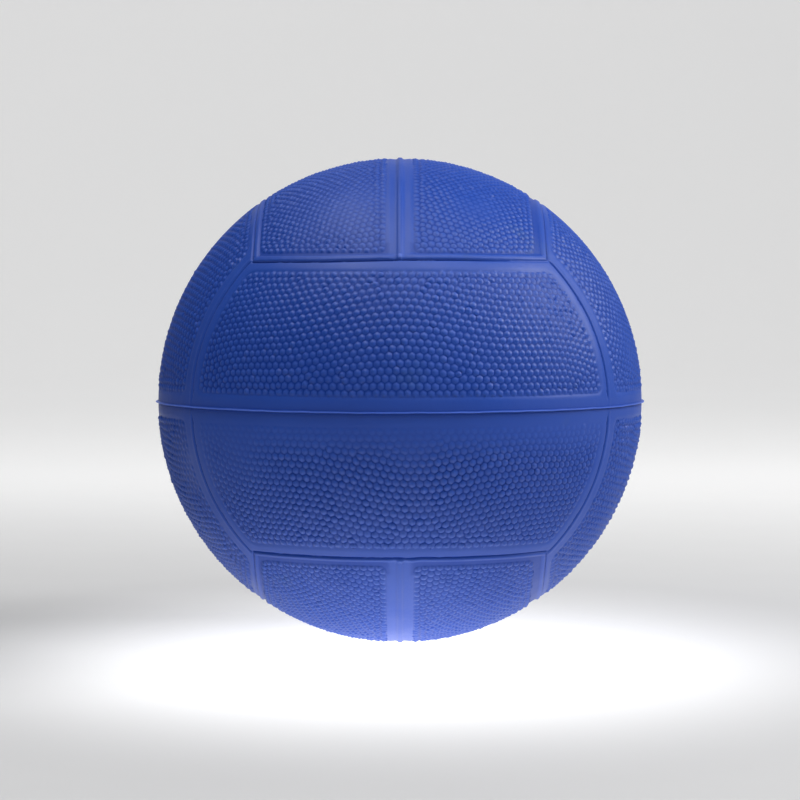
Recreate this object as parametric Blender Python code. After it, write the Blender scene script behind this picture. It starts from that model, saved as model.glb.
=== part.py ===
"""A moulded rubber playground ball: a cover in two halves, a cord winding, a bladder and a valve.

Everything is laid out round the ball's centre, which is the origin. The cover's twelve panels are
six pairs, one pair on each side of a rounded cube. Every seam is an arc that lies in one of the
planes x, y or z = +-SEAM_PLANE, and each pair is divided by its own middle line:

    front and back pairs (-Y, +Y)   divided by the mould's parting line, z = 0
    left and right pairs (-X, +X)   divided by y = 0
    top and bottom pairs (+Z, -Z)   divided by x = 0
"""

import math

import bmesh
import bpy

# Driving dimensions, in metres
BALL_RADIUS = 0.105
COVER_WALL = 0.0016
WINDING_WALL = 0.0004
BLADDER_WALL = 0.0006
CLEARANCE = 0.0003  # between pieces that touch on the real ball

# Relief of the cover
SEAM_DEPTH = 0.0006
SEAM_HALF_WIDTH = 0.0009
RIB_HEIGHT = 0.0003  # the moulded rib along the middle line of the side, top and bottom pairs
FLASH_HEIGHT = 0.0011  # the mould's parting flash, all round the equator
MIDDLE_HALF_WIDTH = 0.0008  # of the rib and of the flash, at their feet
PANEL_STEPS = 5  # facets across half a panel pair, between its middle line and its seam

# The valve, in the middle of the back pair's upper panel. "Out" is distance from the ball's centre.
VALVE_FACE_OUT = 0.1047
VALVE_STEM_RADIUS = 0.0050
VALVE_BORE_RADIUS = 0.0024
VALVE_INNER_END_OUT = 0.0920
SEAT_RADIUS = 0.0037  # the recess that the plug's head sits in
SEAT_DEPTH = 0.0015
FLANGE_RADIUS = 0.0110
FLANGE_EDGE = 0.0006
FLANGE_ROOT = 0.0018
FLANGE_GAP = 0.0006  # from the bladder, which is faceted, to the flange that is bonded to it
BULB_RADIUS = 0.0031
BULB_LENGTH = 0.0036
NEEDLE_HOLE_RADIUS = 0.0006
NEEDLE_HOLE_DEPTH = 0.0100
TURNED_STEPS = 32

# Worked out from those
SEAM_PLANE = 1 / math.sqrt(3)  # on a ball of radius 1, so that eight corners hold three seams each
SEAM_ANGLE = math.asin(SEAM_PLANE)
COVER_INNER_RADIUS = BALL_RADIUS - COVER_WALL
WINDING_RADIUS = COVER_INNER_RADIUS - CLEARANCE
WINDING_INNER_RADIUS = WINDING_RADIUS - WINDING_WALL
BLADDER_RADIUS = WINDING_INNER_RADIUS - CLEARANCE
BLADDER_INNER_RADIUS = BLADDER_RADIUS - BLADDER_WALL
VALVE_ELEVATION = SEAM_ANGLE / 2
VALVE_HOLE_RADIUS = VALVE_STEM_RADIUS + CLEARANCE

SAME_PLACE = 1e-4  # directions nearer than this are one point

# Base colour, roughness
ROYAL_BLUE = ((0.022, 0.075, 0.36, 1), 0.45)
CORD_WHITE = ((0.78, 0.76, 0.70, 1), 0.80)
BUTYL_BLACK = ((0.020, 0.020, 0.022, 1), 0.60)
VALVE_BLACK = ((0.030, 0.030, 0.032, 1), 0.50)
PLUG_GREY = ((0.16, 0.17, 0.18, 1), 0.50)


def clear_scene():
    for obj in list(bpy.data.objects):
        bpy.data.objects.remove(obj)


def rubber_material(name, look):
    """A Principled BSDF material: every piece of the ball is rubber or latex-bonded cord."""
    colour, roughness = look
    material = bpy.data.materials.new(name)
    material.use_nodes = True
    shader = material.node_tree.nodes["Principled BSDF"]
    shader.inputs["Base Color"].default_value = colour
    shader.inputs["Roughness"].default_value = roughness
    shader.inputs["Metallic"].default_value = 0
    return material


def add_object(name, bm, material, parent=None):
    """Turns a bmesh into a smooth-shaded object at the origin of its parent."""
    mesh = bpy.data.meshes.new(name)
    bm.to_mesh(mesh)
    bm.free()
    mesh.shade_smooth()
    mesh.set_sharp_from_angle(angle=math.radians(35))
    mesh.materials.append(material)
    obj = bpy.data.objects.new(name, mesh)
    obj.parent = parent
    bpy.context.scene.collection.objects.link(obj)
    return obj


# --- The net of lines that all the ball's layers share ---


def fine_lines():
    """Angles from a pair's middle line to its seam, with lines at the feet of the rib and groove."""
    first = MIDDLE_HALF_WIDTH / BALL_RADIUS
    last = SEAM_ANGLE - SEAM_HALF_WIDTH / BALL_RADIUS
    step = (last - first) / PANEL_STEPS
    return [0.0] + [first + step * i for i in range(PANEL_STEPS + 1)] + [SEAM_ANGLE]


def plain_lines():
    """The same without those feet, for the layers that have no relief."""
    fine = fine_lines()
    return [fine[0]] + fine[2:-2] + [fine[-1]]


def across_at(line, along, lines):
    """Where a cross line meets a line that runs along the pair, both counted from the middle.

    The cross lines open out towards the middle of the pair, as its seams do, but the one beside the
    seam keeps a constant distance from it.
    """
    height = math.sin(lines[along])
    if along == len(lines) - 1:
        return math.sin(lines[line])
    seam_at = math.sqrt(1 - SEAM_PLANE**2 - height**2)
    foot = lines[-1] - lines[line]
    if 0 < foot < 2 * SEAM_HALF_WIDTH / BALL_RADIUS:
        return math.sqrt(1 - height**2 - math.sin(SEAM_ANGLE + foot) ** 2)
    return seam_at * math.sin(lines[line]) / math.sin(lines[-1])


def panel_net(lines):
    """Directions of one panel, in its own axes: across, outward and away from the middle line."""
    last = len(lines) - 1
    rows = []
    for along in range(last + 1):
        row = []
        for line in range(-last, last + 1):
            across = math.copysign(across_at(abs(line), along, lines), line)
            away = math.sin(lines[along])
            row.append((across, math.sqrt(max(0, 1 - across**2 - away**2)), away))
        rows.append(row)
    return rows


def all_panels(lines):
    """The directions of all twelve panels. Turning x to y to z carries one pair to the next."""
    net = panel_net(lines)
    for outward in (-1, 1):
        for away in (-1, 1):
            for turn in range(3):
                rows = []
                for row in net:
                    local = [(a, outward * o, away * h) for a, o, h in row]
                    rows.append([p[-turn:] + p[:-turn] if turn else p for p in local])
                yield rows


def ball_net(lines, keep):
    """A unit ball's net as a bmesh, with only the faces that keep(centre) takes.

    It is cut into triangles here, so that the layers' facets lie parallel and never meet.
    """
    bm = bmesh.new()
    for rows in all_panels(lines):
        points = [[bm.verts.new(p) for p in row] for row in rows]
        for lower, upper in zip(points, points[1:]):
            for i in range(len(lower) - 1):
                bm.faces.new((lower[i], lower[i + 1], upper[i + 1], upper[i]))
    bmesh.ops.remove_doubles(bm, verts=bm.verts, dist=SAME_PLACE)
    dropped = [f for f in bm.faces if not keep(f.calc_center_median())]
    bmesh.ops.delete(bm, geom=dropped, context="FACES")
    bmesh.ops.triangulate(bm, faces=bm.faces, quad_method="SHORT_EDGE")
    bm.verts.index_update()
    return bm


def shell_from(net, outer_point, inner_point):
    """A wall between two surfaces over the same net, closed round its rim where it has one."""
    directions = [v.co.copy() for v in net.verts]
    faces = [[v.index for v in f.verts] for f in net.faces]
    rim = [[v.index for v in e.verts] for e in net.edges if len(e.link_faces) == 1]
    net.free()
    bm = bmesh.new()
    outer = [bm.verts.new(outer_point(d)) for d in directions]
    inner = [bm.verts.new(inner_point(d)) for d in directions]
    for face in faces:
        corners = [directions[i] for i in face]
        normal = (corners[1] - corners[0]).cross(corners[2] - corners[1])
        order = face if normal.dot(corners[0]) > 0 else face[::-1]
        bm.faces.new([outer[i] for i in order])
        bm.faces.new([inner[i] for i in reversed(order)])
    for a, b in rim:
        bm.faces.new((outer[a], outer[b], inner[b], inner[a]))
    if rim:
        bmesh.ops.recalc_face_normals(bm, faces=bm.faces)
    return bm


# --- The cover ---


def near(value, target):
    return abs(value - target) < SAME_PLACE


def on_seam(direction):
    x, y, z = (abs(c) for c in direction)
    inside = SEAM_PLANE + SAME_PLACE
    return any(near(a, SEAM_PLANE) and b <= inside for a, b in ((z, x), (x, y), (y, z)))


def on_rib(direction):
    x, y, z = (abs(c) for c in direction)
    return (near(x, 0) and z > SEAM_PLANE) or (near(y, 0) and x > SEAM_PLANE)


def cover_radius(direction):
    if near(direction.z, 0):
        return BALL_RADIUS + FLASH_HEIGHT
    if on_seam(direction):
        return BALL_RADIUS - SEAM_DEPTH
    if on_rib(direction):
        return BALL_RADIUS + RIB_HEIGHT
    return BALL_RADIUS


def make_cover_half(name, side, material):
    """One half of the cover. side is 1 for the upper half and -1 for the lower."""

    def lifted(direction, radius):
        point = direction * radius
        if near(direction.z, 0):
            point.z = side * CLEARANCE / 2
        return point

    net = ball_net(fine_lines(), lambda centre: centre.z * side > 0)
    bm = shell_from(
        net,
        lambda d: lifted(d, cover_radius(d)),
        lambda d: lifted(d, COVER_INNER_RADIUS),
    )
    return add_object(name, bm, material)


# --- The layers under it ---


def make_layer(name, outer_radius, inner_radius, material):
    """A whole thin ball. Its inside is open to the outside once the valve hole is cut."""
    net = ball_net(plain_lines(), lambda centre: True)
    bm = shell_from(net, lambda d: d * outer_radius, lambda d: d * inner_radius)
    return add_object(name, bm, material)


# --- The valve ---


def make_valve_axis():
    """An empty at the ball's centre whose +Z points out through the middle of the valve."""
    axis = bpy.data.objects.new("valve_axis", None)
    axis.empty_display_size = BALL_RADIUS
    axis.rotation_euler = (VALVE_ELEVATION - math.pi / 2, 0, 0)
    bpy.context.scene.collection.objects.link(axis)
    return axis


def turn_profile(obj):
    turned = obj.modifiers.new("turned", "SCREW")
    turned.axis = "Z"
    turned.steps = TURNED_STEPS
    turned.render_steps = TURNED_STEPS
    turned.use_merge_vertices = True
    turned.merge_threshold = 0.00001


def make_turned(name, outline, closed, material, axis):
    """A turned piece. The outline holds (distance from the axis, distance out from the centre)."""
    bm = bmesh.new()
    points = [bm.verts.new((radius, 0, out)) for radius, out in outline]
    for a, b in zip(points, points[1:]):
        bm.edges.new((a, b))
    if closed:
        bm.edges.new((points[-1], points[0]))
    obj = add_object(name, bm, material, axis)
    turn_profile(obj)
    return obj


def make_valve_housing(material, axis):
    """Stem with a through bore and a seat for the plug's head, on a flange inside the bladder."""
    flange_ball = BLADDER_INNER_RADIUS - FLANGE_GAP
    root_out = math.sqrt(flange_ball**2 - VALVE_STEM_RADIUS**2)
    edge_out = math.sqrt(flange_ball**2 - FLANGE_RADIUS**2)
    seat_out = VALVE_FACE_OUT - SEAT_DEPTH
    outline = [
        (VALVE_STEM_RADIUS, VALVE_FACE_OUT),
        (VALVE_STEM_RADIUS, root_out),
        (FLANGE_RADIUS, edge_out),
        (FLANGE_RADIUS, edge_out - FLANGE_EDGE),
        (VALVE_STEM_RADIUS, root_out - FLANGE_ROOT),
        (VALVE_STEM_RADIUS, VALVE_INNER_END_OUT),
        (VALVE_BORE_RADIUS, VALVE_INNER_END_OUT),
        (VALVE_BORE_RADIUS, seat_out),
        (SEAT_RADIUS, seat_out),
        (SEAT_RADIUS, VALVE_FACE_OUT),
    ]
    return make_turned("valve_housing", outline, True, material, axis)


def make_valve_plug(material, axis):
    """Mushroom plug: flat head, shank through the bore and a bulb that holds it from inside."""
    head_radius = SEAT_RADIUS - CLEARANCE
    head_under = VALVE_FACE_OUT - SEAT_DEPTH + CLEARANCE
    shank_radius = VALVE_BORE_RADIUS - CLEARANCE
    hole_end = VALVE_FACE_OUT - NEEDLE_HOLE_DEPTH
    bulb_top = VALVE_INNER_END_OUT - CLEARANCE
    bulb_end = bulb_top - BULB_LENGTH
    outline = [
        (0, hole_end),
        (NEEDLE_HOLE_RADIUS, hole_end),
        (NEEDLE_HOLE_RADIUS, VALVE_FACE_OUT),
        (head_radius, VALVE_FACE_OUT),
        (head_radius, head_under),
        (shank_radius, head_under),
        (shank_radius, bulb_top),
        (BULB_RADIUS, bulb_top),
        (BULB_RADIUS, bulb_top - BULB_LENGTH / 3),
        (shank_radius, bulb_end),
        (0, bulb_end),
    ]
    return make_turned("valve_plug", outline, False, material, axis)


def make_valve_hole(axis):
    """The cutter that opens the cover, winding and bladder for the valve's stem."""
    outline = [
        (0, BALL_RADIUS + 2 * COVER_WALL),
        (VALVE_HOLE_RADIUS, BALL_RADIUS + 2 * COVER_WALL),
        (VALVE_HOLE_RADIUS, VALVE_INNER_END_OUT),
        (0, VALVE_INNER_END_OUT),
    ]
    cutter = make_turned("valve_hole", outline, False, None, axis)
    cutter.hide_render = True
    cutter.display_type = "WIRE"
    return cutter


def cut(obj, cutter):
    hole = obj.modifiers.new("valve_hole", "BOOLEAN")
    hole.operation = "DIFFERENCE"
    hole.solver = "EXACT"
    hole.object = cutter


def main():
    clear_scene()
    upper_blue = rubber_material("upper_cover_rubber", ROYAL_BLUE)
    lower_blue = rubber_material("lower_cover_rubber", ROYAL_BLUE)
    winding_cord = rubber_material("latex_bonded_cord", CORD_WHITE)
    bladder_rubber = rubber_material("bladder_butyl", BUTYL_BLACK)
    housing_rubber = rubber_material("valve_housing_rubber", VALVE_BLACK)
    plug_rubber = rubber_material("valve_plug_rubber", PLUG_GREY)

    upper = make_cover_half("upper_cover", 1, upper_blue)
    make_cover_half("lower_cover", -1, lower_blue)
    winding = make_layer("cord_winding", WINDING_RADIUS, WINDING_INNER_RADIUS, winding_cord)
    bladder = make_layer("bladder", BLADDER_RADIUS, BLADDER_INNER_RADIUS, bladder_rubber)

    axis = make_valve_axis()
    make_valve_housing(housing_rubber, axis)
    make_valve_plug(plug_rubber, axis)
    hole = make_valve_hole(axis)
    for layer in (upper, winding, bladder):
        cut(layer, hole)


main()
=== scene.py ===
import math

import bpy
import numpy as np
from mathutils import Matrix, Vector
from mathutils.geometry import delaunay_2d_cdt


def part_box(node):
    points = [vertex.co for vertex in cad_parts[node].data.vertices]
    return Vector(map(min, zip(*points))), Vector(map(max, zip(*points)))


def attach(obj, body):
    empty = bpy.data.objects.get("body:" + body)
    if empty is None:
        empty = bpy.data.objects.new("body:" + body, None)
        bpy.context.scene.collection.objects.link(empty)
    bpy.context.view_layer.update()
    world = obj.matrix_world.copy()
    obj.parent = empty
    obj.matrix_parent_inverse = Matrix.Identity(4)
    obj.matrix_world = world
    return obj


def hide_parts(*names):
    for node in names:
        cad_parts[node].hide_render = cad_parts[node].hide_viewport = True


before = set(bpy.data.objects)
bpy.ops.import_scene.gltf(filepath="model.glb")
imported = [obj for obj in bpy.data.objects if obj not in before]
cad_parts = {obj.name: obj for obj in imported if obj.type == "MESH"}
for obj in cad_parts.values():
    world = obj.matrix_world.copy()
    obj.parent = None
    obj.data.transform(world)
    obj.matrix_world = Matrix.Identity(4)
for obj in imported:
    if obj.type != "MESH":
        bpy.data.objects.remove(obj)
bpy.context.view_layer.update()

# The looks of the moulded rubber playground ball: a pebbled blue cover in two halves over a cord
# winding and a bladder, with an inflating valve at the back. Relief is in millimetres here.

MM = 0.001
X, Y, Z = 0, 1, 2
rng = np.random.default_rng(12)

# --- Sizes of the cover, in millimetres ---

BALL = 105.0  # the ball's radius over its pebbled panels
INNER = 103.4  # the inside of the cover
SEAM_ANGLE = math.asin(1 / math.sqrt(3))
EVEN_SEAM = BALL * SEAM_ANGLE
SEAM_SHIFT = 1.2  # the front and back panels' far seams lie this much nearer the parting line
SEAMS_AT = np.array((EVEN_SEAM, EVEN_SEAM, EVEN_SEAM - SEAM_SHIFT))  # along the ball, from x, y, z = 0

BAND = -0.34  # the smooth bands beside seams and middle lines, below the ball's radius
PLATEAU = -0.78  # the floor between pebbles
FIELD_SLOPE = (-1.2, 1.0)  # from band to floor, between these places outside and inside its edge
CORNER = 3.2  # rounding of a pebbled field's corners

PITCH = 3.15  # from pebble to pebble
PEBBLE = 0.72  # height of a pebble
LOWER_PEBBLES = 1.2  # those of the lower half stand this many times as high
RING_AT = 0.31  # in pitches: where a pebble's shoulder lies
RING_HEIGHT = 0.62  # in pebble heights
FIRST_ROW = 1.5  # from the field's edge to its first row of pebbles
HEIGHT_SPREAD = 0.11  # how much pebbles differ, as a share
WIDTH_SPREAD = 0.06
SADDLE = 0.10  # in pebble heights: the ridge between two neighbours
NEIGHBOUR = 1.5  # in pitches: pebbles further apart than this are no neighbours
VALLEY_SPAN = 1.6  # in pitches: the longest side of three pebbles round a valley
LATTICE_ROWS = 56  # each way from the middle of a field
LATTICE_REACH = 95.0  # the same on the panel's flat map
PUSH_REACH = 1.22  # in pitches
PUSH_SHARE = 0.20  # of an overlap, in each round
PUSH_ROUNDS = 36
SEARCH_REACH = 1.9  # in pitches: pairs nearer than this are looked at
SEARCH_EVERY = 6  # rounds
START_JITTER = 0.03  # in pitches, before the pebbles settle
JITTER = 0.035  # in pitches, afterwards

GROOVE_DEPTH = 0.72
GROOVE_HALF = 0.60
RIB_FROM = 0.55  # the flat rib that frames a top or bottom panel, from the groove outwards
RIB_TO_UPPER = 2.7
RIB_TO_LOWER = 1.9
RIB = 0.30
RECESS_TO = 9.0  # between that rib and the pebbles the band is as low as the pebbles' floor
MIDDLE_RIB = 0.40
MIDDLE_RIB_HALF = 1.05
MIDDLE_VALLEY = 0.32  # how much lower than the band the valley beside that rib is
SIDE_LIP = 0.16

FLASH_TIP = 0.78  # over the ball's radius
FLASH_TIP_HALF = 0.05  # half the flash's thickness at its tip
FLASH_FOOT = 0.42  # and at its foot
UPPER_RIM = -0.58  # the upper half carries the whole flash, so the parting gap lies under it
LOWER_RIM = -0.66
LOWER_RIM_DROP = 0.06  # the lower half's edge is this much under the smooth bands
PARTING_BAND = 1.2  # nearer to the parting plane than this, only its own rows give points

VALVE_ANGLE = SEAM_ANGLE / 2
VALVE_OUT = np.array((0.0, math.cos(VALVE_ANGLE), math.sin(VALVE_ANGLE)))
VALVE_HOLE = 5.32  # radius of the hole in the cover
VALVE_BOSS = 8.2  # radius of the smooth disc round it
VALVE_CLEAR = 9.2  # the pebbled field starts here
VALVE_FACE = -0.34  # height of the disc over the ball's radius
VALVE_EDGE = 0.28  # how far its rounded edge stands up

# Heights that the material reads, to paint shade into sunk places and a highlight onto the flash
SUNK_FULLY = 0.8  # below the pebbles' floor
FLASH_FROM = 0.1
FLASH_FULLY = 0.6

LINE_STEP = 0.95  # between points along a line
FILL_STEP = 1.25  # between points in the smooth bands
BAND_REACH = 0.9  # a field's own points stop here, outside its edge
INNER_STEP = 6.0  # between points on the inside
SHARP_EDGE = 62  # degrees: steeper edges are shaded sharp

# How far the pebbled fields of the pair that faces each axis keep from the lines round them: from
# the seam square to that axis, from the seam along the pair, from the middle line, and from the
# parting line where that crosses the pair.
FIELD_MARGINS = {
    X: (2.9, 6.6, 5.2, 5.6),
    Y: (4.4, 4.5, 5.9, None),
    Z: (4.4, 5.9, 5.4, None),
}
SIDE_FIELD_UP = 0.42  # z of the middle of a side field, on a ball of radius 1
LEFT_WIDENING = 2.6  # the top and bottom fields reach further out on the left than on the right

# How the rows of pebbles are turned in each pair's fields, from the direction square to the
# pair's middle line
ROW_TURNS = {X: 0.9, Y: math.pi / 2, Z: 0.0}

# Places where the mould's pebbles are worn flat: direction, reach in mm, share of height lost
WORN_PLACES = (
    ((-0.80, -0.57, -0.20), 17.0, 0.75),
    ((-0.62, -0.76, -0.16), 13.0, 0.60),
    ((0.93, -0.30, 0.22), 14.0, 0.50),
    ((-0.20, -0.57, 0.80), 17.0, 0.50),
    ((0.30, -0.55, 0.78), 12.0, 0.45),
    ((0.05, -0.99, -0.13), 9.0, 0.45),
    ((0.60, 0.70, -0.38), 16.0, 0.50),
)
PARTING_WEAR = 0.75  # share lost just under the front and back parting line
PARTING_WEAR_ENDS = (7.0, 21.0)


def unit(vectors):
    """The same directions at length 1."""
    return vectors / np.linalg.norm(vectors, axis=-1, keepdims=True)


def smooth(value, low, high):
    """0 below low, 1 above high and an easy slope between."""
    t = np.clip((value - low) / (high - low), 0, 1)
    return t * t * (3 - 2 * t)


def hill(value, half_width):
    """1 at 0, falling smoothly to 0 at half_width on both sides."""
    t = np.clip(np.abs(value) / half_width, 0, 1)
    return (1 - t * t) ** 2


def mesa(value, start, end, slope):
    """1 from start to end, falling off over slope on both sides."""
    return smooth(value, start - slope / 2, start + slope / 2) * (
        1 - smooth(value, end - slope / 2, end + slope / 2)
    )


def arcs(directions):
    """Distances along the ball from the planes x, y and z = 0, without sign."""
    return BALL * np.arcsin(np.clip(np.abs(directions), 0, 1))


def distance_to(directions, place):
    """Distances along the ball from one place on it."""
    return BALL * np.arccos(np.clip(directions @ unit(np.asarray(place, float)), -1, 1))


def after(axis):
    """The axis that x to y to z to x carries this one to."""
    return (axis + 1) % 3


def facing(away_from_planes, pair):
    """Which directions lie on the pair of panels that faces this axis."""
    beyond = away_from_planes - SEAMS_AT
    return (beyond[:, pair] > 0) & (beyond[:, after(pair)] <= 0)


def field_depth(directions, pair):
    """How far inside a pebbled field of this pair each direction lies. Outside it is negative."""
    planes = arcs(directions)
    square_seam, long_seam, middle, parting = FIELD_MARGINS[pair]
    beyond = planes - SEAMS_AT
    gaps = [
        beyond[:, pair] - square_seam,
        -beyond[:, after(pair)] - long_seam,
        planes[:, after(pair)] - middle,
    ]
    if pair == Z:
        gaps[1] = gaps[1] + LEFT_WIDENING * (directions[:, X] < 0)
    if parting is not None:
        gaps.append(planes[:, Z] - parting)
    gaps = np.stack(gaps, axis=1)
    short = np.clip(CORNER - gaps, 0, None)
    depth = CORNER - np.linalg.norm(short, axis=1) + np.clip(gaps.min(axis=1) - CORNER, 0, None)
    if pair == Y:
        depth = np.minimum(depth, distance_to(directions, VALVE_OUT) - VALVE_CLEAR)
    return depth


def nearest_field(directions):
    """The same for whichever pair's field is nearest."""
    return np.max([field_depth(directions, pair) for pair in (X, Y, Z)], axis=0)


# --- Small faults of the real moulding ---


def ripple(angle, *waves):
    """A sum of sine waves, each given as (waves per turn, height, phase)."""
    return sum(height * np.sin(count * angle + phase) for count, height, phase in waves)


def parting_wave(directions):
    """How far the flash strays from the plane z = 0."""
    around = np.arctan2(directions[:, Y], directions[:, X])
    return ripple(around, (5, 0.05, 1.0), (17, 0.04, 2.2), (41, 0.035, 0.4), (73, 0.02, 5.0))


def flash_height(directions):
    """How far the flash stands over the ball's radius."""
    around = np.arctan2(directions[:, Y], directions[:, X])
    return FLASH_TIP + ripple(around, (3, 0.06, 3.0), (23, 0.04, 1.3), (61, 0.03, 0.2))


def seam_wave(directions, axis):
    """How far a seam's groove strays, with two faults where the mould's parts met badly."""
    along = directions[:, after(axis)] * BALL
    stray = 0.07 * np.sin(along / 9.0 + 2 * axis) + 0.04 * np.sin(along / 3.7 + axis)
    if axis == Z:
        bow = 0.9 * hill(along - 6.0, 38.0) + 0.55 * smooth(along, 0.0, 45.0)
        kink = 0.12 * np.tanh((along + 1.0) / 1.2) * hill(along, 9.0)
        wobble = 0.28 * np.sin(along / 2.3) * hill(along - 5.0, 8.0)
        stray = stray + np.where(directions[:, Z] > 0, bow + kink, wobble)
    return stray


def groove_depth(directions, axis):
    """The grooves in front of and behind the top panel get shallower to the right."""
    shallow = 0.5 * smooth(directions[:, X] * BALL, 20.0, 60.0) * (directions[:, Z] > 0)
    return GROOVE_DEPTH * (1 - shallow * (axis == Z))


def worn_share(directions):
    """The share of their height that pebbles keep.

    The mould is also worn under the front and back parting line.
    """
    below = -BALL * directions[:, Z]
    front = smooth(np.abs(directions[:, Y]), 0.55, 0.65)
    left = 1 - PARTING_WEAR * front * (below > 0) * (1 - smooth(below, *PARTING_WEAR_ENDS))
    for place, reach, loss in WORN_PLACES:
        left *= 1 - loss * np.exp(-((distance_to(directions, place) / reach) ** 2))
    return left


# --- The relief of the cover without its pebbles ---


def groove_relief(directions, planes):
    """The thin grooves along the seams."""
    deepest = np.zeros(len(directions))
    for axis in (X, Y, Z):
        beyond = planes[:, axis] - SEAMS_AT[axis] - seam_wave(directions, axis)
        here = 1 - smooth(planes[:, after(axis)] - SEAMS_AT[after(axis)], 0.0, 0.6)
        if axis == Y:
            here = here * smooth(planes[:, Z], 2.2, 6.0)
        groove = groove_depth(directions, axis) * hill(beyond, GROOVE_HALF) * here
        deepest = np.maximum(deepest, groove)
    return -deepest


def from_frame(directions, planes):
    """Distance from the seams round a top or bottom panel, and where the rib inside them ends."""
    from_front = planes[:, Z] - SEAMS_AT[Z] - seam_wave(directions, Z)
    from_side = SEAMS_AT[X] - planes[:, X]
    rib_to = np.where(directions[:, Z] > 0, RIB_TO_UPPER, RIB_TO_LOWER)
    return np.minimum(from_front, from_side), rib_to


def frame_rib_relief(directions, planes):
    """The flat rib just inside the seams round a top or bottom panel."""
    nearest, rib_to = from_frame(directions, planes)
    return np.where(facing(planes, Z), RIB * mesa(nearest, RIB_FROM, rib_to, 0.45), 0)


def recess_share(directions, planes):
    """1 in the low band between that rib and the pebbles, fading towards the middle line."""
    nearest, rib_to = from_frame(directions, planes)
    low = mesa(nearest, rib_to + 0.2, RECESS_TO, 0.8) * smooth(planes[:, X], 3.0, 6.0)
    return np.where(facing(planes, Z), low, 0)


def side_lip_relief(directions, planes):
    """A faint lip on the side panels' edge of the seam between front and side."""
    inside = SEAMS_AT[Y] - planes[:, Y]
    return np.where(facing(planes, X), SIDE_LIP * mesa(inside, 0.6, 1.7, 0.5), 0)


def middle_rib_relief(directions, planes, pair):
    """The rib along the middle line of the side, top and bottom pairs, in a shallow valley."""
    across = planes[:, after(pair)]
    seam_gap = planes[:, pair] - SEAMS_AT[pair]
    height = mesa(across, -9.0, MIDDLE_RIB_HALF, 0.9)
    valley = 1 - smooth(across, 2.0, 5.0)
    rise = smooth(seam_gap, 0.5, 1.6)
    parting_gap = smooth(planes[:, Z], 1.5, 3.5) if pair == X else 1.0
    relief = (MIDDLE_RIB + MIDDLE_VALLEY) * height - MIDDLE_VALLEY * valley
    return np.where(facing(planes, pair), relief * rise * parting_gap, 0)


def flash_relief(directions, signed_height):
    """The thin fin of rubber that the mould's parting line leaves."""
    off = signed_height - parting_wave(directions)
    slope = 1 - smooth(np.abs(off), FLASH_TIP_HALF, FLASH_FOOT)
    return (flash_height(directions) - BAND) * slope


def valve_relief(directions, height):
    """Blends the cover into a flat boss round the valve, with a low rounded edge."""
    away = distance_to(directions, VALVE_OUT)
    rim = VALVE_EDGE * hill(away - VALVE_BOSS + 0.6, 0.9)
    inside = 1 - smooth(away, VALVE_BOSS - 0.2, VALVE_BOSS + 0.9)
    return height * (1 - inside) + VALVE_FACE * inside + rim


def cover_relief(directions):
    """Height of the cover over the ball's radius, in millimetres, before any pebble."""
    planes = arcs(directions)
    signed_height = BALL * np.arcsin(np.clip(directions[:, Z], -1, 1))
    depth = nearest_field(directions)
    drop = (PLATEAU - BAND) * worn_share(directions)
    low = np.maximum(smooth(depth, *FIELD_SLOPE), recess_share(directions, planes))
    height = BAND + drop * low
    height = height + groove_relief(directions, planes)
    height = height + frame_rib_relief(directions, planes)
    height = height + side_lip_relief(directions, planes)
    height = height + middle_rib_relief(directions, planes, Z)
    height = height + middle_rib_relief(directions, planes, X)
    height = height + flash_relief(directions, signed_height)
    return valve_relief(directions, height)


# --- Laying out the pebbles ---


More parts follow.
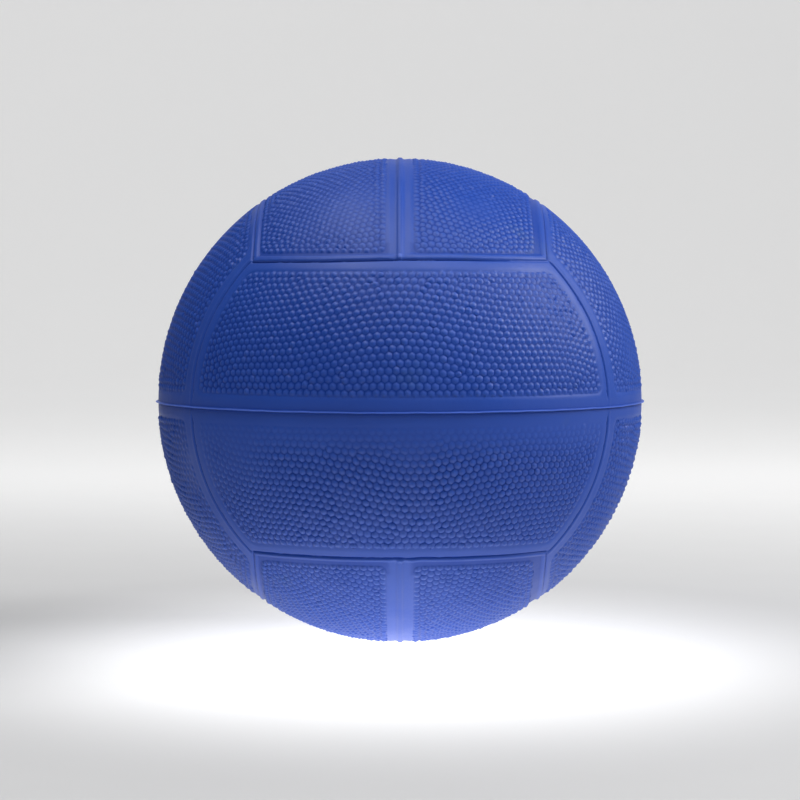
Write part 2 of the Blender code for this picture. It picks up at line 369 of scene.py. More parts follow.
class Panel:
    """One pebbled field, seen from a place inside it, with a flat conformal map of its own."""

    def __init__(self, pair, signs):
        self.pair = pair
        self.signs = signs
        centre = [0.0, 0.0, 0.0]
        centre[after(pair)] = math.sin(SEAM_ANGLE / 2)
        if pair == X:
            centre[Z] = SIDE_FIELD_UP
        centre[pair] = math.sqrt(1 - sum(c * c for c in centre))
        self.centre = np.array(centre) * signs
        helper = np.eye(3)[after(after(pair))]
        self.east = unit(np.cross(helper, self.centre))
        self.north = np.cross(self.centre, self.east)

    def depth(self, directions):
        """The field's own depth: its mirror images on the other panels don't count."""
        bounded = [k for k in (X, Y, Z) if self.pair == X or k != after(after(self.pair))]
        mine = (directions[:, bounded] * self.signs[bounded] > 0).all(axis=1)
        return np.where(mine, field_depth(directions, self.pair), -10.0)

    def edge_depth(self, directions):
        """The same, but the valve doesn't count."""
        depth = self.depth(directions)
        near_valve = distance_to(directions, VALVE_OUT) < VALVE_CLEAR + 8
        return np.where(near_valve, 10.0, depth)

    def flat(self, directions):
        """Stereographic map in millimetres, true in scale at the panel's middle."""
        scale = 2 * BALL / (1 + directions @ self.centre)
        return np.stack((directions @ self.east * scale, directions @ self.north * scale), 1)

    def round(self, places):
        """From that map back to directions."""
        u, v = places[:, 0, None] / (2 * BALL), places[:, 1, None] / (2 * BALL)
        square = u * u + v * v
        around = 2 * (u * self.east + v * self.north) + (1 - square) * self.centre
        return around / (1 + square)

    def contour(self, depth, step):
        """Evenly spaced directions along the line at this depth inside the field."""
        turn = np.linspace(0, 2 * math.pi, 1441)[:, None]  # every quarter of a degree
        heading = np.cos(turn) * self.east + np.sin(turn) * self.north
        near = np.zeros(len(turn))
        far = np.full(len(turn), math.radians(60))
        for _ in range(28):  # halves the range until the line is met exactly
            middle = (near + far) / 2
            at = np.cos(middle)[:, None] * self.centre + np.sin(middle)[:, None] * heading
            inside = self.edge_depth(at) > depth
            near = np.where(inside, middle, near)
            far = np.where(inside, far, middle)
        at = np.cos(near)[:, None] * self.centre + np.sin(near)[:, None] * heading
        run = np.concatenate(([0], np.cumsum(np.linalg.norm(np.diff(at, axis=0), axis=1)))) * BALL
        count = round(run[-1] / step)
        wanted = np.arange(count) * run[-1] / count
        return unit(np.stack([np.interp(wanted, run, at[:, k]) for k in range(3)], axis=1))


def all_panels():
    """All sixteen fields: two each at the front, back, top and bottom, and four at each side."""
    for pair in (Y, Z, X):
        for outward in (-1, 1):
            for away in (-1, 1):
                for across in (-1, 1) if pair == X else (1,):
                    signs = [1, 1, 1]
                    signs[pair] = outward
                    signs[after(pair)] = away
                    signs[after(after(pair))] = across
                    yield Panel(pair, np.array(signs))


def valve_circle(radius, step):
    """Evenly spaced directions round the valve."""
    count = round(2 * math.pi * radius / step)
    turn = np.arange(count)[:, None] * 2 * math.pi / count
    side = np.array((1.0, 0.0, 0.0))
    up = np.cross(VALVE_OUT, side)
    lean = radius / BALL
    return math.cos(lean) * VALVE_OUT + math.sin(lean) * (np.cos(turn) * side + np.sin(turn) * up)


def has_valve(panel):
    """True for the one field with the valve in its middle."""
    return panel.centre @ VALVE_OUT > 0.99


def lattice(panel):
    """A close-packed start for the pebbles inside the first row, turned and bent a little."""
    rows = np.arange(-LATTICE_ROWS, LATTICE_ROWS + 1)
    i, j = np.meshgrid(rows, rows)
    flat = np.stack(((i + j / 2).ravel(), (j * math.sqrt(3) / 2).ravel()), axis=1) * PITCH
    turn = ROW_TURNS[panel.pair] + rng.uniform(-0.05, 0.05)
    cos, sin = math.cos(turn), math.sin(turn)
    flat = flat @ np.array(((cos, sin), (-sin, cos)))
    bend = rng.uniform(0.3, 0.7) * PITCH
    phase = rng.uniform(0, 2 * math.pi, 2)
    flat[:, 1] += bend * np.sin(flat[:, 0] / 16 + phase[0])
    flat[:, 0] += bend * np.sin(flat[:, 1] / 13 + phase[1])
    flat += rng.normal(0, START_JITTER * PITCH, flat.shape)
    around = panel.round(flat[np.linalg.norm(flat, axis=1) < LATTICE_REACH])
    return around[panel.depth(around) > FIRST_ROW + 0.72 * PITCH]


def push_apart(held, loose):
    """Spreads the loose directions evenly between the held ones, as soft discs would settle."""
    places = np.vstack((held, loose)) * BALL
    reach = PUSH_REACH * PITCH
    close = BALL * BALL * math.cos(SEARCH_REACH * PITCH / BALL)
    for turn in range(PUSH_ROUNDS):
        if turn % SEARCH_EVERY == 0:
            first, second = np.nonzero(np.triu(places @ places.T > close, 1))
        gap = places[first] - places[second]
        length = np.linalg.norm(gap, axis=1)[:, None]
        push = PUSH_SHARE * gap / length * np.clip(reach - length, 0, None)
        for k in range(3):
            places[:, k] += np.bincount(first, push[:, k], len(places))
            places[:, k] -= np.bincount(second, push[:, k], len(places))
        places[: len(held)] = held * BALL
        places = unit(places) * BALL
    return places / BALL


def lay_pebbles(panel):
    """Directions of one field's pebbles: rows held along its edges, the rest settled between."""
    held = panel.contour(FIRST_ROW, PITCH)
    if has_valve(panel):
        held = np.vstack((held, valve_circle(VALVE_CLEAR + FIRST_ROW, PITCH)))
    settled = push_apart(held, lattice(panel))
    return unit(settled + rng.normal(0, JITTER * PITCH / BALL, settled.shape))


def triangles_of(flat):
    """Delaunay triangles of flat points, as rows of indices into them."""
    points = [Vector(p) for p in flat.tolist()]
    _, _, faces, origins, _, _ = delaunay_2d_cdt(points, [], [], 0, 1e-6)
    source = [o[0] for o in origins]
    return np.array([[source[i] for i in face] for face in faces])


def neighbours(centres, faces):
    """Pairs of pebbles that lie next to each other, and how far apart they are."""
    edges = np.unique(np.sort(faces[:, [0, 1, 1, 2, 2, 0]].reshape(-1, 2), axis=1), axis=0)
    length = np.linalg.norm(centres[edges[:, 0]] - centres[edges[:, 1]], axis=1) * BALL
    near = length < NEIGHBOUR * PITCH
    return edges[near], length[near]


def ring_turns(flat, edges):
    """How far each pebble's six-sided ring is turned, to suit the directions of its neighbours."""
    step = flat[edges[:, 1]] - flat[edges[:, 0]]
    leaning = np.arctan2(step[:, 1], step[:, 0]) * 6
    sums = np.zeros((len(flat), 2))
    for end in (0, 1):
        sums[:, 0] += np.bincount(edges[:, end], np.cos(leaning), len(flat))
        sums[:, 1] += np.bincount(edges[:, end], np.sin(leaning), len(flat))
    return np.arctan2(sums[:, 1], sums[:, 0]) / 6


def pebble_rings(panel, centres, edges, widths):
    """Six directions on the shoulder of each pebble."""
    flat = panel.flat(centres)
    first_turn = ring_turns(flat, edges)
    rings = []
    for k in range(6):
        turn = first_turn + (k + 0.5) * math.pi / 3
        ring = flat + widths[:, None] * np.stack((np.cos(turn), np.sin(turn)), axis=1)
        rings.append(panel.round(ring))
    return rings


def valley_points(centres, faces):
    """The lowest places, each between three pebbles."""
    corners = centres[faces]
    sides = np.linalg.norm(corners - np.roll(corners, 1, axis=1), axis=2).max(axis=1) * BALL
    return unit(corners[sides < VALLEY_SPAN * PITCH].sum(axis=1))


def pebble_points(panel):
    """Directions and heights of the points that shape one field's pebbles."""
    centres = lay_pebbles(panel)
    faces = triangles_of(panel.flat(centres))
    edges, length = neighbours(centres, faces)

    heights = PEBBLE * rng.normal(1.0, HEIGHT_SPREAD, len(centres)) * worn_share(centres)
    heights *= np.where(centres[:, Z] < 0, LOWER_PEBBLES, 1.0)
    room = np.full(len(centres), PITCH)
    for end in (0, 1):
        np.minimum.at(room, edges[:, end], length)
    widths = RING_AT * room * rng.normal(1.0, WIDTH_SPREAD, len(centres))

    rings = pebble_rings(panel, centres, edges, widths)
    middles = unit(centres[edges[:, 0]] + centres[edges[:, 1]])
    valleys = valley_points(centres, faces)
    saddle = SADDLE * np.minimum(heights[edges[:, 0]], heights[edges[:, 1]])
    directions = [centres, *rings, middles, valleys]
    lifts = [heights] + [heights * RING_HEIGHT] * 6 + [saddle, np.zeros(len(valleys))]
    return np.vstack(directions), np.concatenate(lifts)


# --- Points along the lines of the relief ---


def seam_rows(axis, offsets):
    """Rows of directions along the seams in the planes square to this axis."""
    rows = []
    count = round(math.pi / 2 * BALL * math.cos(SEAM_ANGLE) / LINE_STEP)
    turn = np.linspace(-math.pi / 4, math.pi / 4, count + 1)
    for sign in (-1, 1):
        for third_sign in (-1, 1):
            for offset in offsets:
                lean = (SEAMS_AT[axis] + offset) / BALL
                row = np.zeros((len(turn), 3))
                row[:, axis] = sign * math.sin(lean)
                row[:, after(axis)] = math.cos(lean) * np.sin(turn)
                row[:, after(after(axis))] = third_sign * math.cos(lean) * np.cos(turn)
                lean = lean + seam_wave(row, axis) / BALL
                flat = unit(np.delete(row, axis, axis=1)) * np.cos(lean)[:, None]
                row[:, axis] = sign * np.sin(lean)
                others = [k for k in (X, Y, Z) if k != axis]
                row[:, others] = flat
                rows.append(row)
    return np.vstack(rows)


def middle_rows(pair, offsets):
    """Rows along the middle rib of a pair."""
    rows = []
    half = math.pi / 2 - SEAMS_AT[pair] / BALL
    count = round(2 * half * BALL / LINE_STEP)
    turn = np.linspace(-half, half, count + 1)
    for sign in (-1, 1):
        for offset in offsets:
            lean = offset / BALL
            row = np.zeros((len(turn), 3))
            row[:, after(pair)] = math.sin(lean)
            row[:, pair] = sign * math.cos(lean) * np.cos(turn)
            row[:, after(after(pair))] = math.cos(lean) * np.sin(turn)
            rows.append(row)
    return np.vstack(rows)


def parting_rows(heights, wavy):
    """Rings round the ball at these heights over the parting plane."""
    count = round(2 * math.pi * BALL / LINE_STEP)
    turn = np.arange(count) * 2 * math.pi / count
    rows = []
    for height in heights:
        row = np.stack((np.cos(turn), np.sin(turn), np.zeros(count)), axis=1)
        lean = height / BALL + (parting_wave(row) / BALL if wavy else 0)
        row[:, :2] *= np.cos(lean)[..., None] if wavy else math.cos(lean)
        row[:, Z] = np.sin(lean)
        rows.append(row)
    return np.vstack(rows)


def even_directions(step):
    """A whole ball of evenly spread directions."""
    count = int(4 * math.pi * BALL * BALL / (step * step * 0.866))
    i = np.arange(count) + 0.5
    z = 1 - 2 * i / count
    turn = i * math.pi * (3 - math.sqrt(5))
    flat = np.sqrt(1 - z * z)
    return np.stack((flat * np.cos(turn), flat * np.sin(turn), z), axis=1)


GROOVE_ROWS = (-0.95, -0.5, -0.25, 0, 0.25, 0.5, 0.95)
FLASH_ROWS = (-0.42, -0.24, -0.06, 0.06, 0.24, 0.42, 0.75, 1.2)
LOWER_BAND_ROWS = (-1.0, -1.6)
MIDDLE_ROWS = (-2.3, -1.6, -1.1, -0.6, 0, 0.6, 1.1, 1.6, 2.3)
VALVE_ROWS = (5.9, 6.6, 7.2, 7.7, 8.2, 8.8, 9.4)


SEAM_ZONES = {X: (-3.4, 1.5), Y: (-2.3, 1.5), Z: (-1.5, 3.4)}  # from and to, beyond the seam
PARTING_ZONE = 1.6
MIDDLE_ZONE = 2.6


def line_zone(directions):
    """True where rows along lines already shape the surface."""
    planes = arcs(directions)
    beyond = planes - SEAMS_AT
    zone = planes[:, Z] < PARTING_ZONE
    for axis, (low, high) in SEAM_ZONES.items():
        inside = (beyond[:, axis] > low) & (beyond[:, axis] < high)
        zone |= inside & (beyond[:, after(axis)] < 0.4)
    for pair in (X, Z):
        zone |= facing(planes, pair) & (planes[:, after(pair)] < MIDDLE_ZONE)
    return zone


def line_points():
    """Directions of every point that isn't part of a pebble or on the parting line."""
    points = [
        seam_rows(Z, GROOVE_ROWS + (1.5, 2.1, 2.6, 3.1)),
        seam_rows(X, (-3.1, -2.6, -2.1, -1.5) + GROOVE_ROWS),
        seam_rows(Y, (-2.0, -1.4) + GROOVE_ROWS),
        middle_rows(Z, MIDDLE_ROWS),
        middle_rows(X, MIDDLE_ROWS),
    ]
    rows = np.vstack(points)
    rows = rows[arcs(rows)[:, Z] > 1.4]
    fill = even_directions(FILL_STEP)
    fill = fill[~line_zone(fill) & (nearest_field(fill) < -BAND_REACH - 0.4)]
    fill = fill[distance_to(fill, VALVE_OUT) > VALVE_CLEAR + 0.5]
    edges = []
    for panel in PANELS:
        edges.append(panel.contour(0.35, LINE_STEP))
        edges.append(panel.contour(-0.25, LINE_STEP))
        edges.append(panel.contour(-BAND_REACH, LINE_STEP))
    valve = [valve_circle(radius, 0.9) for radius in VALVE_ROWS]
    valve.append(valve_circle(VALVE_HOLE, 1.0))
    return np.vstack((rows, fill, *edges, *valve))


# --- Building the two halves ---

PANELS = list(all_panels())


def without_crowding(directions, lifts, gap):
    """Drops points that share a small cell with an earlier one."""
    cells = np.round(directions * BALL / gap).astype(np.int64)
    _, first = np.unique(cells, axis=0, return_index=True)
    kept = np.sort(first)
    return directions[kept], lifts[kept]


def surface_points():
    """All the points of the outer surface but the two rims, with their pebble heights."""
    pebbles = [pebble_points(panel) for panel in PANELS]
    lines = line_points()
    directions = np.vstack([p[0] for p in pebbles] + [lines])
    lifts = np.concatenate([p[1] for p in pebbles] + [np.zeros(len(lines))])
    return without_crowding(directions, lifts, 0.24)


def from_pole(directions, side):
    """Conformal map of a half ball, so that flat Delaunay triangles are right on the ball too."""
    scale = 2 * BALL / (1 + side * directions[:, Z])
    return directions[:, :2] * scale[:, None]


def outward_faces(directions, side, hole):
    """Triangles over these directions, wound outwards, without those that would close the hole."""
    faces = triangles_of(from_pole(directions, side))
    if hole:
        middle = unit(directions[faces].sum(axis=1))
        faces = faces[distance_to(middle, VALVE_OUT) > VALVE_HOLE * math.cos(math.pi / 33)]
    return faces if side > 0 else faces[:, ::-1]


def keep_for_material(mesh, name, outer_values):
    """Stores a number for each outer point, where the material can read it. Inside it is 0."""
    values = np.zeros(len(mesh.vertices), np.float32)
    values[: len(outer_values)] = outer_values
    mesh.attributes.new(name, "FLOAT", "POINT").data.foreach_set("value", values)


def mark_for_material(mesh, outer, lift, height):
    """Tells the material where the pebbles' tops and valleys, the sunk places and the flash are."""
    in_field = smooth(nearest_field(outer), -0.3, 1.6)
    # The material paints shade where pebble_top is low (valleys between pebbles, recess band) and
    # where sunk is high (grooves).
    level = lift / PEBBLE + 0.5 * (1 - worn_share(outer))
    plain = 0.5 - 0.25 * recess_share(outer, arcs(outer))
    keep_for_material(mesh, "pebble_top", plain + (level - plain) * in_field)
    keep_for_material(mesh, "sunk", np.clip((PLATEAU - height) / SUNK_FULLY, 0, 1))
    keep_for_material(mesh, "flash", np.clip((height - FLASH_FROM) / (FLASH_FULLY - FLASH_FROM), 0, 1))


def edges_of(side):
    """One half's edge at the parting line and, on the upper half, its edge round the valve."""
    rim = parting_rows([UPPER_RIM if side > 0 else LOWER_RIM], wavy=False)
    ring = valve_circle(VALVE_HOLE, 1.0) if side > 0 else np.empty((0, 3))
    return rim, ring


def outer_points(side, rim, ring, directions, lifts):
    """One half's outer points, its edges first: directions, pebble heights and full heights."""
    band = parting_rows(FLASH_ROWS if side > 0 else LOWER_BAND_ROWS, wavy=side > 0)
    off_ring = distance_to(directions, VALVE_OUT) > VALVE_HOLE + 0.05
    mine = (directions[:, Z] * side > PARTING_BAND / BALL) & off_ring
    outer = np.vstack((rim, ring, band, directions[mine]))
    lift = np.concatenate((np.zeros(len(rim) + len(ring) + len(band)), lifts[mine]))
    height = cover_relief(outer) + lift
    if side < 0:
        height[: len(rim)] = BAND - LOWER_RIM_DROP
    return outer, lift, height


def inner_points(side, rim, ring):
    """The plain inside's directions: the same edges first, then a sparse fill."""
    fill = even_directions(INNER_STEP)
    fill = fill[fill[:, Z] * side > 3.0 / BALL]
    fill = fill[distance_to(fill, VALVE_OUT) > VALVE_HOLE + 2.0]
    return np.vstack((rim, ring, fill))


def edge_wall(start, count, outer_count, flip):
    """Triangles from an outer edge to the same edge of the inside."""
    a = start + np.arange(count)
    b = start + (np.arange(count) + 1) % max(count, 1)
    first = np.stack((a, b, b + outer_count), axis=1)
    second = np.stack((a, b + outer_count, a + outer_count), axis=1)
    strip = np.vstack((first, second))
    return strip[:, ::-1] if flip else strip


def half_mesh(name, side, directions, lifts):
    """A closed shell: moulded outside, plain inside, and a wall round the rim and the hole."""
    rim, ring = edges_of(side)
    outer, lift, height = outer_points(side, rim, ring, directions, lifts)
    inner = inner_points(side, rim, ring)
    outer_faces = outward_faces(outer, side, side > 0)
    inner_faces = outward_faces(inner, side, side > 0)[:, ::-1] + len(outer)
    rim_wall = edge_wall(0, len(rim), len(outer), side > 0)
    ring_wall = edge_wall(len(rim), len(ring), len(outer), True)
    faces = np.vstack((outer_faces, inner_faces, rim_wall, ring_wall))

    radius = np.concatenate((BALL + height, np.full(len(inner), INNER)))
    points = np.vstack((outer, inner)) * radius[:, None] * MM
    mesh = bpy.data.meshes.new(name)
    mesh.from_pydata(points.tolist(), [], faces.tolist())
    mark_for_material(mesh, outer, lift, height)
    mesh.shade_smooth()
    mesh.set_sharp_from_angle(angle=math.radians(SHARP_EDGE))
    return mesh


def add_piece(name, mesh, material):
    """Puts the mesh in the scene as an object with this material."""
    obj = bpy.data.objects.new(name, mesh)
    mesh.materials.append(material)
    bpy.context.scene.collection.objects.link(obj)
    return obj


# --- Materials ---

NOISE_ROUGHNESS = 0.55

CAMERA_FROM = 10.08 * BALL * MM
CAMERA_UP = math.radians(2.77)
LENS = 109.4
SENSOR = 36

# The stage glows a little with painted light, in a pattern that stays where it is whatever looks at
# it: a pool under the ball, and the part of the backdrop that lies behind the ball as seen from the
# front.
TABLE_GLOW = 2.1
TABLE_GLOW_SIDEWAYS = 0.24  # metres
TABLE_GLOW_FORWARD = 0.28
TABLE_GLOW_AHEAD = 0.035  # how far before the ball its middle lies
BACK_GLOW = 0.5
BACK_GLOW_SPREAD = 0.32  # metres to each side for a metre from the camera
BACK_GLOW_FADE = 0.14  # its edge is this soft to both sides


class Nodes:
    """Short ways to add and join a material's nodes."""

    def __init__(self, name):
        self.material = bpy.data.materials.new(name)
        self.material.use_nodes = True
        self.tree = self.material.node_tree
        self.shader = self.tree.nodes["Principled BSDF"]
        self.place = self.add("ShaderNodeTexCoord").outputs["Object"]

    def add(self, kind, **settings):
        node = self.tree.nodes.new(kind)
        for key, value in settings.items():
            setattr(node, key, value)
        return node

    def feed(self, source, target):
        """Links a node's output to a socket, or sets the socket to a plain value."""
        if hasattr(source, "links"):
            self.tree.links.new(source, target)
        else:
            target.default_value = source

    def noise(self, scale, detail=3.0):
        node = self.add("ShaderNodeTexNoise")
        self.feed(self.place, node.inputs["Vector"])
        node.inputs["Scale"].default_value = scale
        node.inputs["Detail"].default_value = detail
        node.inputs["Roughness"].default_value = NOISE_ROUGHNESS
        return node.outputs["Fac"]

    def attribute(self, name):
        """A number that keep_for_material stored on the mesh."""
        return self.add("ShaderNodeAttribute", attribute_name=name).outputs["Fac"]

    def between(self, value, low, high, to_low, to_high, way="LINEAR"):
        """Carries low..high over to to_low..to_high, and stops at both ends."""
        node = self.add("ShaderNodeMapRange", interpolation_type=way)
        for key, item in zip(
            ("Value", "From Min", "From Max", "To Min", "To Max"),
            (value, low, high, to_low, to_high),
        ):
            self.feed(item, node.inputs[key])
        return node.outputs["Result"]

    def math(self, operation, a, b):
        node = self.add("ShaderNodeMath", operation=operation)
        self.feed(a, node.inputs[0])
        self.feed(b, node.inputs[1])
        return node.outputs["Value"]

    def blend(self, share, a, b):
        """From colour a at share 0 to colour b at share 1."""
        node = self.add("ShaderNodeMix", data_type="RGBA")
        self.feed(share, node.inputs[0])
        self.feed(a, node.inputs[6])
        self.feed(b, node.inputs[7])
        return node.outputs[2]

    def bump(self, height, strength, distance, below=None):
        node = self.add("ShaderNodeBump")
        node.inputs["Strength"].default_value = strength
        node.inputs["Distance"].default_value = distance
        self.feed(height, node.inputs["Height"])
        if below is not None:
            self.feed(below, node.inputs["Normal"])
        return node.outputs["Normal"]


BLUE = (0.0065, 0.053, 0.345, 1)
PALE_BLUE = (0.0090, 0.068, 0.41, 1)
# Painted shade for grooves, recesses and the valleys between pebbles
PAINTED_SHADE_BLUE = (0.003, 0.022, 0.19, 1)
STAIN = (0.030, 0.085, 0.21, 1)
DUST = (0.030, 0.095, 0.38, 1)
# A painted highlight: the paler colour of the flash
PAINTED_FLASH_HIGHLIGHT = (0.085, 0.165, 0.60, 1)
CORD = (0.70, 0.66, 0.56, 1)
PALE_CORD = (0.83, 0.80, 0.72, 1)
# Painted shade between the cord's threads
THREAD_GAP_SHADE = (0.42, 0.38, 0.30, 1)
SHEET = (0.50, 0.50, 0.505, 1)
PALE_SHEET = (0.54, 0.54, 0.54, 1)

# Plain rubbers: name, colour, colour with a bloom of talc, and the range of roughness
BUTYL = ("butyl", (0.014, 0.014, 0.016, 1), (0.06, 0.06, 0.062, 1), (0.5, 0.7))
VALVE_BLACK = ("valve_black", (0.018, 0.018, 0.020, 1), (0.045, 0.045, 0.047, 1), (0.42, 0.6))
PLUG_GREY = ("plug_grey", (0.10, 0.105, 0.11, 1), (0.19, 0.195, 0.20, 1), (0.40, 0.6))


def blue_rubber():
    """Moulded blue rubber: cloudy pigment, painted shade in grooves, recesses and between pebbles,
    rubbed tops, a painted highlight on the flash and a fine grain.
    """
    n = Nodes("blue_rubber")
    clouds = n.noise(14.0, 4.0)
    colour = n.blend(n.between(clouds, 0.35, 0.68, 0.0, 0.55), BLUE, PALE_BLUE)
    # Painted shade: grooves and other places sunk below the pebbles' floor are painted darker blue.
    sunk = n.attribute("sunk")
    colour = n.blend(n.between(sunk, 0.08, 0.35, 0.0, 0.75), colour, PAINTED_SHADE_BLUE)
    patches = n.noise(31.0, 3.0)
    specks = n.noise(170.0, 2.0)
    stain = n.math("MULTIPLY", n.between(patches, 0.66, 0.76, 0, 1), specks)
    colour = n.blend(n.math("MULTIPLY", stain, 0.8), colour, STAIN)
    # Painted shade: the valleys between pebbles, and less so the recess band, are painted darker blue.
    tops = n.attribute("pebble_top")
    colour = n.blend(n.between(tops, 0.0, 0.55, 0.72, 0.0), colour, PAINTED_SHADE_BLUE)
    rubbed = n.math("MULTIPLY", n.between(tops, 0.5, 1.0, 0, 1), n.noise(60.0, 3.0))
    colour = n.blend(n.math("MULTIPLY", rubbed, 0.20), colour, DUST)
    # Painted highlight: the flash is painted paler, in patches.
    patchy = n.between(n.noise(24.0, 3.0), 0.3, 0.6, 0.55, 1.0)
    colour = n.blend(n.math("MULTIPLY", n.attribute("flash"), patchy), colour, PAINTED_FLASH_HIGHLIGHT)
    n.feed(colour, n.shader.inputs["Base Color"])
    n.feed(n.between(tops, 0.0, 0.45, 0.12, 0.45), n.shader.inputs["Specular IOR Level"])
    streaks = n.noise(38.0, 4.0)
    rough = n.between(streaks, 0.3, 0.7, 0.42, 0.56)
    n.feed(n.math("SUBTRACT", rough, n.math("MULTIPLY", rubbed, 0.10)), n.shader.inputs["Roughness"])
    grain = n.bump(n.noise(2600.0, 2.0), 0.16, 0.00012)
    n.feed(n.bump(n.noise(330.0, 3.0), 0.22, 0.00035, grain), n.shader.inputs["Normal"])
    return n.material


def wound_cord():
    """Nylon thread wound at many angles and bonded with latex, with painted shade between the threads.
    """
    n = Nodes("wound_cord")
    height = None
    for axis, scale in enumerate((260.0, 230.0, 245.0)):
        wave = n.add("ShaderNodeTexWave", bands_direction="XYZ"[axis])
        n.feed(n.place, wave.inputs["Vector"])
        wave.inputs["Scale"].default_value = scale
        wave.inputs["Distortion"].default_value = 3.0
        wave.inputs["Detail"].default_value = 1.0
        turns = wave.outputs["Fac"]
        height = turns if height is None else n.math("MAXIMUM", height, turns)
    shade = n.blend(n.noise(40.0), CORD, PALE_CORD)
    # Painted shade: the gaps between the threads are painted darker.
    between_threads = n.between(height, 0.3, 0.9, 0.5, 0.0)
    n.feed(n.blend(between_threads, shade, THREAD_GAP_SHADE), n.shader.inputs["Base Color"])
    n.feed(n.between(height, 0.2, 1.0, 0.9, 0.65), n.shader.inputs["Roughness"])
    n.feed(n.bump(height, 0.6, 0.0003), n.shader.inputs["Normal"])
    return n.material


def plain_rubber(name, dark, light, roughness):
    """Butyl or valve rubber with a bloom of talc."""
    n = Nodes(name)
    bloom = n.between(n.noise(55.0, 4.0), 0.45, 0.75, 0.0, 0.8)
    n.feed(n.blend(bloom, dark, light), n.shader.inputs["Base Color"])
    n.feed(n.between(n.noise(120.0, 3.0), 0.3, 0.7, *roughness), n.shader.inputs["Roughness"])
    n.feed(n.bump(n.noise(1500.0, 2.0), 0.25, 0.00015), n.shader.inputs["Normal"])
    return n.material


def pale_sheet():
    """The pale stage: painted light glows from it under the ball, as from a light table, and at the
    back.
    """
    n = Nodes("pale_sheet")
    tone = n.blend(n.noise(3.0), SHEET, PALE_SHEET)
    n.feed(tone, n.shader.inputs["Base Color"])
    n.feed(n.between(n.noise(18.0), 0.3, 0.7, 0.75, 0.9), n.shader.inputs["Roughness"])
    spread = n.add("ShaderNodeMapping")
    spread.inputs["Scale"].default_value = (1 / TABLE_GLOW_SIDEWAYS, 1 / TABLE_GLOW_FORWARD, 0)
    spread.inputs["Location"].default_value = (0, TABLE_GLOW_AHEAD / TABLE_GLOW_FORWARD, 0)
    n.feed(n.place, spread.inputs["Vector"])
    pool = n.add("ShaderNodeTexGradient", gradient_type="QUADRATIC_SPHERE")
    n.feed(spread.outputs["Vector"], pool.inputs["Vector"])
    table = n.math("MULTIPLY", pool.outputs["Fac"], TABLE_GLOW)
    parts = n.add("ShaderNodeSeparateXYZ")
    n.feed(n.place, parts.inputs["Vector"])
    back = n.between(parts.outputs["Y"], 0.0, 1.0, 0.0, BACK_GLOW, "SMOOTHSTEP")
    away = n.math("ADD", parts.outputs["Y"], CAMERA_FROM)
    aside = n.math("DIVIDE", n.math("ABSOLUTE", parts.outputs["X"], 0.0), away)
    low = BACK_GLOW_SPREAD - BACK_GLOW_FADE
    high = BACK_GLOW_SPREAD + BACK_GLOW_FADE
    wall = n.math("MULTIPLY", back, n.between(aside, low, high, 1.0, 0.0, "SMOOTHSTEP"))
    # Painted light: the sheet's own glow, in a pool under the ball and on the backdrop behind it
    n.shader.inputs["Emission Color"].default_value = (1, 1, 1, 1)
    n.feed(n.math("ADD", table, wall), n.shader.inputs["Emission Strength"])
    return n.material


def paint_node(name, material):
    """Gives a CAD node's slots this material."""
    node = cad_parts[name]
    for slot in node.material_slots:
        slot.link = "OBJECT"
        slot.material = material


# --- The pieces ---

rubber = blue_rubber()
points, pebble_lifts = surface_points()
for side, name, node in (
    (1, "upper_cover_moulded", "upper_cover"),
    (-1, "lower_cover_moulded", "lower_cover"),
):
    half = add_piece(name, half_mesh(name, side, points, pebble_lifts), rubber)
    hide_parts(node)
    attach(half, "root")

paint_node("cord_winding", wound_cord())
paint_node("bladder", plain_rubber(*BUTYL))
paint_node("valve_housing", plain_rubber(*VALVE_BLACK))
paint_node("valve_plug", plain_rubber(*PLUG_GREY))


# --- Floor, lights and camera ---

FLOOR_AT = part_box("lower_cover")[0].z
STAGE_FLAT = 2.4  # metres from the ball to where the sheet starts to curve up
STAGE_RINGS = (0.25, 1.2, STAGE_FLAT)
STAGE_CURVE = 0.9
STAGE_TOP = 3.6
STAGE_SIDES = 96
STAGE_CURVE_STEPS = 16


def make_stage():
    """A round sheet that runs flat under the ball and curves up into a wall all round."""
    profile = [(radius, 0.0) for radius in STAGE_RINGS]
    for i in range(1, STAGE_CURVE_STEPS + 1):
        turn = i / STAGE_CURVE_STEPS * math.pi / 2
        radius = STAGE_FLAT + STAGE_CURVE * math.sin(turn)
        profile.append((radius, STAGE_CURVE * (1 - math.cos(turn))))
    profile.append((STAGE_FLAT + STAGE_CURVE, STAGE_TOP))
    points = [(0.0, 0.0, FLOOR_AT)]
    for radius, height in profile:
        for j in range(STAGE_SIDES):
            turn = 2 * math.pi * j / STAGE_SIDES
            points.append((radius * math.cos(turn), radius * math.sin(turn), FLOOR_AT + height))
    faces = []
    for j in range(STAGE_SIDES):
        beside = (j + 1) % STAGE_SIDES
        faces.append((0, 1 + j, 1 + beside))
        for low in range(1, 1 + STAGE_SIDES * (len(profile) - 1), STAGE_SIDES):
            high = low + STAGE_SIDES
            faces.append((low + j, high + j, high + beside, low + beside))
    mesh = bpy.data.meshes.new("pale_stage")
    mesh.from_pydata(points, [], faces)
    mesh.shade_smooth()
    add_piece("pale_stage", mesh, pale_sheet())


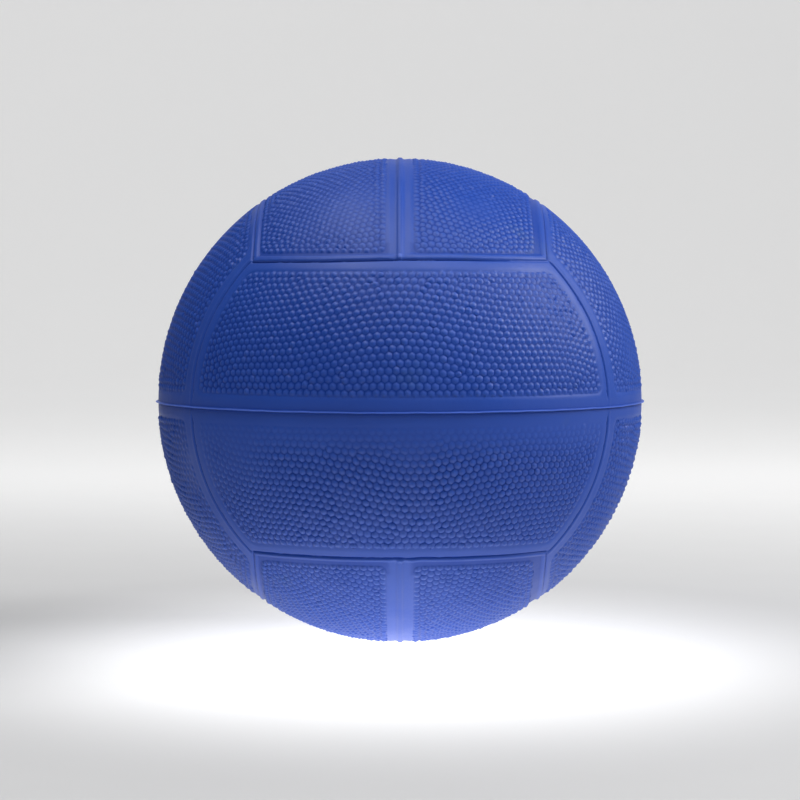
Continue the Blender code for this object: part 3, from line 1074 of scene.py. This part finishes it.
def area_light(name, place, width, height, power):
    """A rectangular lamp that faces the ball's centre."""
    data = bpy.data.lights.new(name, "AREA")
    data.shape = "RECTANGLE"
    data.size = width
    data.size_y = height
    data.energy = power
    lamp = bpy.data.objects.new(name, data)
    lamp.location = place
    lamp.rotation_euler = (-place).to_track_quat("-Z", "Y").to_euler()
    bpy.context.scene.collection.objects.link(lamp)


LIGHTS = (
    # name, degrees up, degrees round from the right to the back, metres away, width, height, watts
    ("overhead_bar", 82, 225, 1.5, 1.8, 1.1, 12.6),
    ("overhead_front", 62, 268, 1.6, 1.6, 0.6, 9.4),
    ("upper_left", 60, 205, 1.6, 0.7, 0.7, 2.2),
    ("key_right", 32, 0, 1.6, 0.8, 0.8, 17.5),
    ("upper_right_front", 45, 325, 1.6, 0.7, 0.7, 3.0),
    ("wide_front_fill", 0, 270, 1.9, 3.6, 1.5, 2.4),
)
WORLD_STRENGTH = 0.02


def make_lights():
    """The lamps, and a faint blue grey from everywhere."""
    for name, up, round_from_right, away, width, height, power in LIGHTS:
        lean = math.radians(up)
        turn = math.radians(round_from_right)
        flat = Vector((math.cos(turn), math.sin(turn), 0)) * math.cos(lean)
        area_light(name, away * (flat + Vector((0, 0, math.sin(lean)))), width, height, power)
    world = bpy.data.worlds.new("studio")
    world.use_nodes = True
    background = world.node_tree.nodes["Background"]
    background.inputs["Color"].default_value = (0.8, 0.85, 0.95, 1)
    background.inputs["Strength"].default_value = WORLD_STRENGTH
    bpy.context.scene.world = world


def make_camera():
    """Looks at the ball's centre from the front, from a little above."""
    data = bpy.data.cameras.new("camera")
    data.lens = LENS
    data.sensor_width = SENSOR
    camera = bpy.data.objects.new("camera", data)
    camera.location = (0, -CAMERA_FROM * math.cos(CAMERA_UP), CAMERA_FROM * math.sin(CAMERA_UP))
    camera.rotation_euler = (math.pi / 2 - CAMERA_UP, 0, 0)
    bpy.context.scene.collection.objects.link(camera)
    bpy.context.scene.camera = camera


make_stage()
make_lights()
make_camera()
bpy.context.scene.view_settings.view_transform = "Standard"
